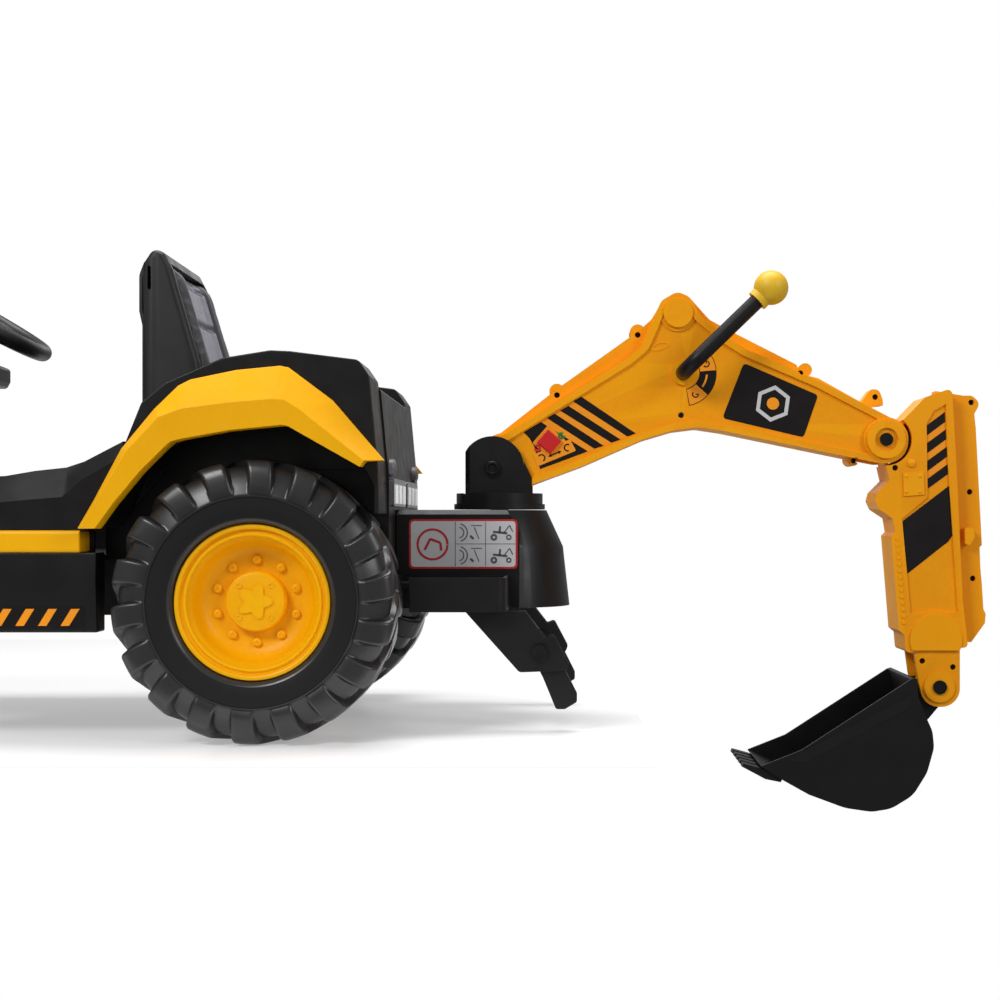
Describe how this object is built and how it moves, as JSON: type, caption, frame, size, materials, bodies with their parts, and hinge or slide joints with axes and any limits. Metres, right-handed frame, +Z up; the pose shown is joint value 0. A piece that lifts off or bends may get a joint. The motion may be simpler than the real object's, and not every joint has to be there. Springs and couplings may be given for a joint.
{
  "type": "ride on digger",
  "caption": "Child's electric ride-on tractor with a swivel seat, yellow fender trims, treaded wheels, fold-down stabilisers and a jointed digger arm with a bucket.",
  "frame": {"origin": "on the ground plane of the tyres, under the middle of the rear axle", "axes": "+X rearwards to the digger, +Y to the vehicle's right-hand side, +Z up"},
  "size_m": [1.776, 0.6, 0.7133],
  "materials": {
    "black_body": "satin moulded black plastic",
    "yellow_body": "satin moulded yellow plastic",
    "yellow_digger": "satin moulded orange-yellow plastic",
    "black_parts": "grained black plastic",
    "tyre_black": "matt black hollow moulded tyre",
    "seat_black": "grained black plastic",
    "wheel_grip": "grained black plastic",
    "seat_fabric": "quilted grey imitation leather",
    "clear_lens": "clear lens with white bars",
    "knob_yellow": "satin yellow plastic",
    "switch_red": "glossy red plastic",
    "steel": "black painted steel",
    "black_bolt": "black zinc-plated steel"
  },
  "bodies": {
    "root": {"chassis_tub": "black_parts", "upper_body": "black_body", "fender_left": "black_body", "fender_right": "black_body", "fender_trim_left": "yellow_body", "fender_trim_right": "yellow_body", "side_sills": "black_body", "side_bands": "yellow_body", "hood": "yellow_body", "grille": "black_parts", "headlamps": "clear_lens", "bumper": "black_parts", "exhaust_stack": "black_parts", "dashboard": "black_body", "tail_lamps": "clear_lens", "digger_housing": "black_body", "foot_platforms": "black_body", "stabiliser_mounts": "black_parts", "stabiliser_bolts": "black_bolt", "battery": "black_parts", "gearmotors": "black_parts", "rear_axle": "steel", "front_axle_beam": "steel"},
    "rear_wheel_left": {"tyre_rear_left": "tyre_black", "rim_rear_left": "yellow_body", "hub_cap_rear_left": "yellow_body"},
    "rear_wheel_right": {"tyre_rear_right": "tyre_black", "rim_rear_right": "yellow_body", "hub_cap_rear_right": "yellow_body"},
    "knuckle_left": {"knuckle_left": "steel"},
    "knuckle_right": {"knuckle_right": "steel"},
    "front_wheel_left": {"tyre_front_left": "tyre_black", "rim_front_left": "yellow_body"},
    "front_wheel_right": {"tyre_front_right": "tyre_black", "rim_front_right": "yellow_body"},
    "tie_rod": {"tie_rod": "steel"},
    "steering": {"steering_wheel": "wheel_grip", "steering_shaft": "steel"},
    "horn": {"horn_button": "wheel_grip"},
    "seat": {"seat_base": "black_parts", "seat_shell": "seat_black", "seat_cushion": "seat_fabric", "back_cushion": "seat_fabric"},
    "pedal": {"pedal": "black_parts"},
    "direction_switch": {"direction_switch": "black_parts"},
    "turntable": {"turntable": "black_body", "boom_pin": "black_bolt"},
    "boom": {"boom_left": "yellow_digger", "boom_right": "yellow_digger", "stick_pin": "black_bolt"},
    "rocker_switch": {"rocker_switch": "switch_red"},
    "lever": {"lever_tube": "black_parts", "lever_knob": "knob_yellow"},
    "stick": {"stick_left": "yellow_digger", "stick_right": "yellow_digger"},
    "bucket": {"bucket": "black_parts", "bucket_bracket": "yellow_digger", "bucket_pin": "black_bolt"},
    "stabiliser_left": {"stabiliser_leg_left": "black_parts"},
    "stabiliser_right": {"stabiliser_leg_right": "black_parts"}
  },
  "joints": [
    {"name": "rear_wheel_left_spin", "type": "hinge", "parent": "root", "child": "rear_wheel_left", "pos_m": [0, -0.24, 0.165], "axis": [0, 1, 0], "continuous": true},
    {"name": "rear_wheel_right_spin", "type": "hinge", "parent": "root", "child": "rear_wheel_right", "pos_m": [0, 0.24, 0.165], "axis": [0, 1, 0], "continuous": true},
    {"name": "steering_turn", "type": "hinge", "parent": "root", "child": "steering", "pos_m": [-0.425, 0, 0.534], "axis": [0.5, 0, 0.866], "range_deg": [-75, 75]},
    {"name": "knuckle_left_turn", "type": "hinge", "parent": "root", "child": "knuckle_left", "pos_m": [-0.67, -0.175, 0.135], "axis": [0, 0, 1], "range_deg": [-25, 25]},
    {"name": "knuckle_right_turn", "type": "hinge", "parent": "root", "child": "knuckle_right", "pos_m": [-0.67, 0.175, 0.135], "axis": [0, 0, 1], "range_deg": [-25, 25]},
    {"name": "front_wheel_left_spin", "type": "hinge", "parent": "knuckle_left", "child": "front_wheel_left", "pos_m": [-0.67, -0.24, 0.135], "axis": [0, 1, 0], "continuous": true},
    {"name": "front_wheel_right_spin", "type": "hinge", "parent": "knuckle_right", "child": "front_wheel_right", "pos_m": [-0.67, 0.24, 0.135], "axis": [0, 1, 0], "continuous": true},
    {"name": "tie_rod_shift", "type": "slide", "parent": "root", "child": "tie_rod", "axis": [0, 1, 0], "range_m": [-0.0235, 0.0235]},
    {"name": "horn_press", "type": "slide", "parent": "steering", "child": "horn", "axis": [-0.5, 0, -0.866], "range_m": [0, 0.002], "stiffness_N_per_m": 1500, "springref_m": -0.0005},
    {"name": "seat_swivel", "type": "hinge", "parent": "root", "child": "seat", "pos_m": [-0.04, 0, 0.34], "axis": [0, 0, 1], "range_deg": [0, 180]},
    {"name": "pedal_press", "type": "hinge", "parent": "root", "child": "pedal", "pos_m": [-0.476, 0.1, 0.23], "axis": [0, 1, 0], "range_deg": [0, 12], "stiffness_Nm_per_rad": 0.6, "springref_deg": -8.59},
    {"name": "direction_switch_rock", "type": "hinge", "parent": "root", "child": "direction_switch", "pos_m": [-0.452, 0.08, 0.484], "axis": [0, 1, 0], "range_deg": [-8, 8]},
    {"name": "digger_swivel", "type": "hinge", "parent": "root", "child": "turntable", "pos_m": [0.275, 0, 0.28], "axis": [0, 0, 1], "range_deg": [-45, 45]},
    {"name": "boom_lift", "type": "hinge", "parent": "turntable", "child": "boom", "pos_m": [0.267, 0, 0.327], "axis": [0, -1, 0], "range_deg": [-5, 35]},
    {"name": "rocker_switch_rock", "type": "hinge", "parent": "boom", "child": "rocker_switch", "pos_m": [0.341, -0.03, 0.362], "axis": [0.7547, 0, -0.6561], "range_deg": [-6, 6]},
    {"name": "stick_swing", "type": "hinge", "parent": "boom", "child": "stick", "pos_m": [0.78, 0, 0.365], "axis": [0, -1, 0], "range_deg": [-10, 35]},
    {"name": "bucket_curl", "type": "hinge", "parent": "stick", "child": "bucket", "pos_m": [0.85, 0, 0.042], "axis": [0, -1, 0], "range_deg": [-12, 50]},
    {"name": "lever_tilt", "type": "hinge", "parent": "boom", "child": "lever", "pos_m": [0.516, -0.03, 0.452], "axis": [0, -1, 0], "range_deg": [-30.5, 7.5]},
    {"name": "stabiliser_left_fold", "type": "hinge", "parent": "root", "child": "stabiliser_left", "pos_m": [0.33, -0.15, 0.097], "axis": [0, -1, 0], "range_deg": [0, 50]},
    {"name": "stabiliser_right_fold", "type": "hinge", "parent": "root", "child": "stabiliser_right", "pos_m": [0.33, 0.15, 0.097], "axis": [0, -1, 0], "range_deg": [0, 50]}
  ],
  "couplings": [
    {"joint": "knuckle_left_turn", "follows": "steering_turn", "ratio": 0.33333},
    {"joint": "knuckle_right_turn", "follows": "steering_turn", "ratio": 0.33333},
    {"joint": "tie_rod_shift", "follows": "steering_turn", "m_per_rad": 0.01776},
    {"joint": "lever_tilt", "follows": "bucket_curl", "ratio": -0.6}
  ]
}
